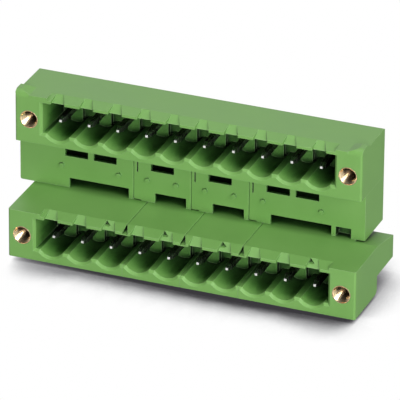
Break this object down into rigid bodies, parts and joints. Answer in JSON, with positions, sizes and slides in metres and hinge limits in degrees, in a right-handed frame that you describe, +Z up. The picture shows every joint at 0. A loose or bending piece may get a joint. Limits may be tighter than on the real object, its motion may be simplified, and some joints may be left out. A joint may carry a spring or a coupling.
{
  "type": "pin header",
  "caption": "Two-tier right-angle pin header for a circuit board, with scalloped plug recesses, offset tiers and threaded inserts in the end flanges.",
  "frame": {"origin": "centre of the bounding box at its lowest level, which is the ends of the solder tails that the loose part stands on", "axes": "+X along the rows towards the right end seen from the plug side, +Y from the plug side towards the rear, +Z up from the board"},
  "size_m": [0.0634, 0.0198, 0.0265],
  "materials": {
    "green_plastic": "fine satin moulded",
    "tinned_pins": "bright tin plate",
    "brass": "turned"
  },
  "bodies": {
    "root": {"left_end_block": "green_plastic", "inner_left_block": "green_plastic", "inner_right_block": "green_plastic", "right_end_block": "green_plastic", "upper_housing": "green_plastic", "lower_contact_1": "tinned_pins", "lower_contact_2": "tinned_pins", "lower_contact_3": "tinned_pins", "lower_contact_4": "tinned_pins", "lower_contact_5": "tinned_pins", "lower_contact_6": "tinned_pins", "lower_contact_7": "tinned_pins", "lower_contact_8": "tinned_pins", "lower_contact_9": "tinned_pins", "lower_contact_10": "tinned_pins", "upper_contact_1": "tinned_pins", "upper_contact_2": "tinned_pins", "upper_contact_3": "tinned_pins", "upper_contact_4": "tinned_pins", "upper_contact_5": "tinned_pins", "upper_contact_6": "tinned_pins", "upper_contact_7": "tinned_pins", "upper_contact_8": "tinned_pins", "upper_contact_9": "tinned_pins", "upper_contact_10": "tinned_pins", "lower_left_insert": "brass", "lower_right_insert": "brass", "upper_left_insert": "brass", "upper_right_insert": "brass"}
  },
  "joints": []
}
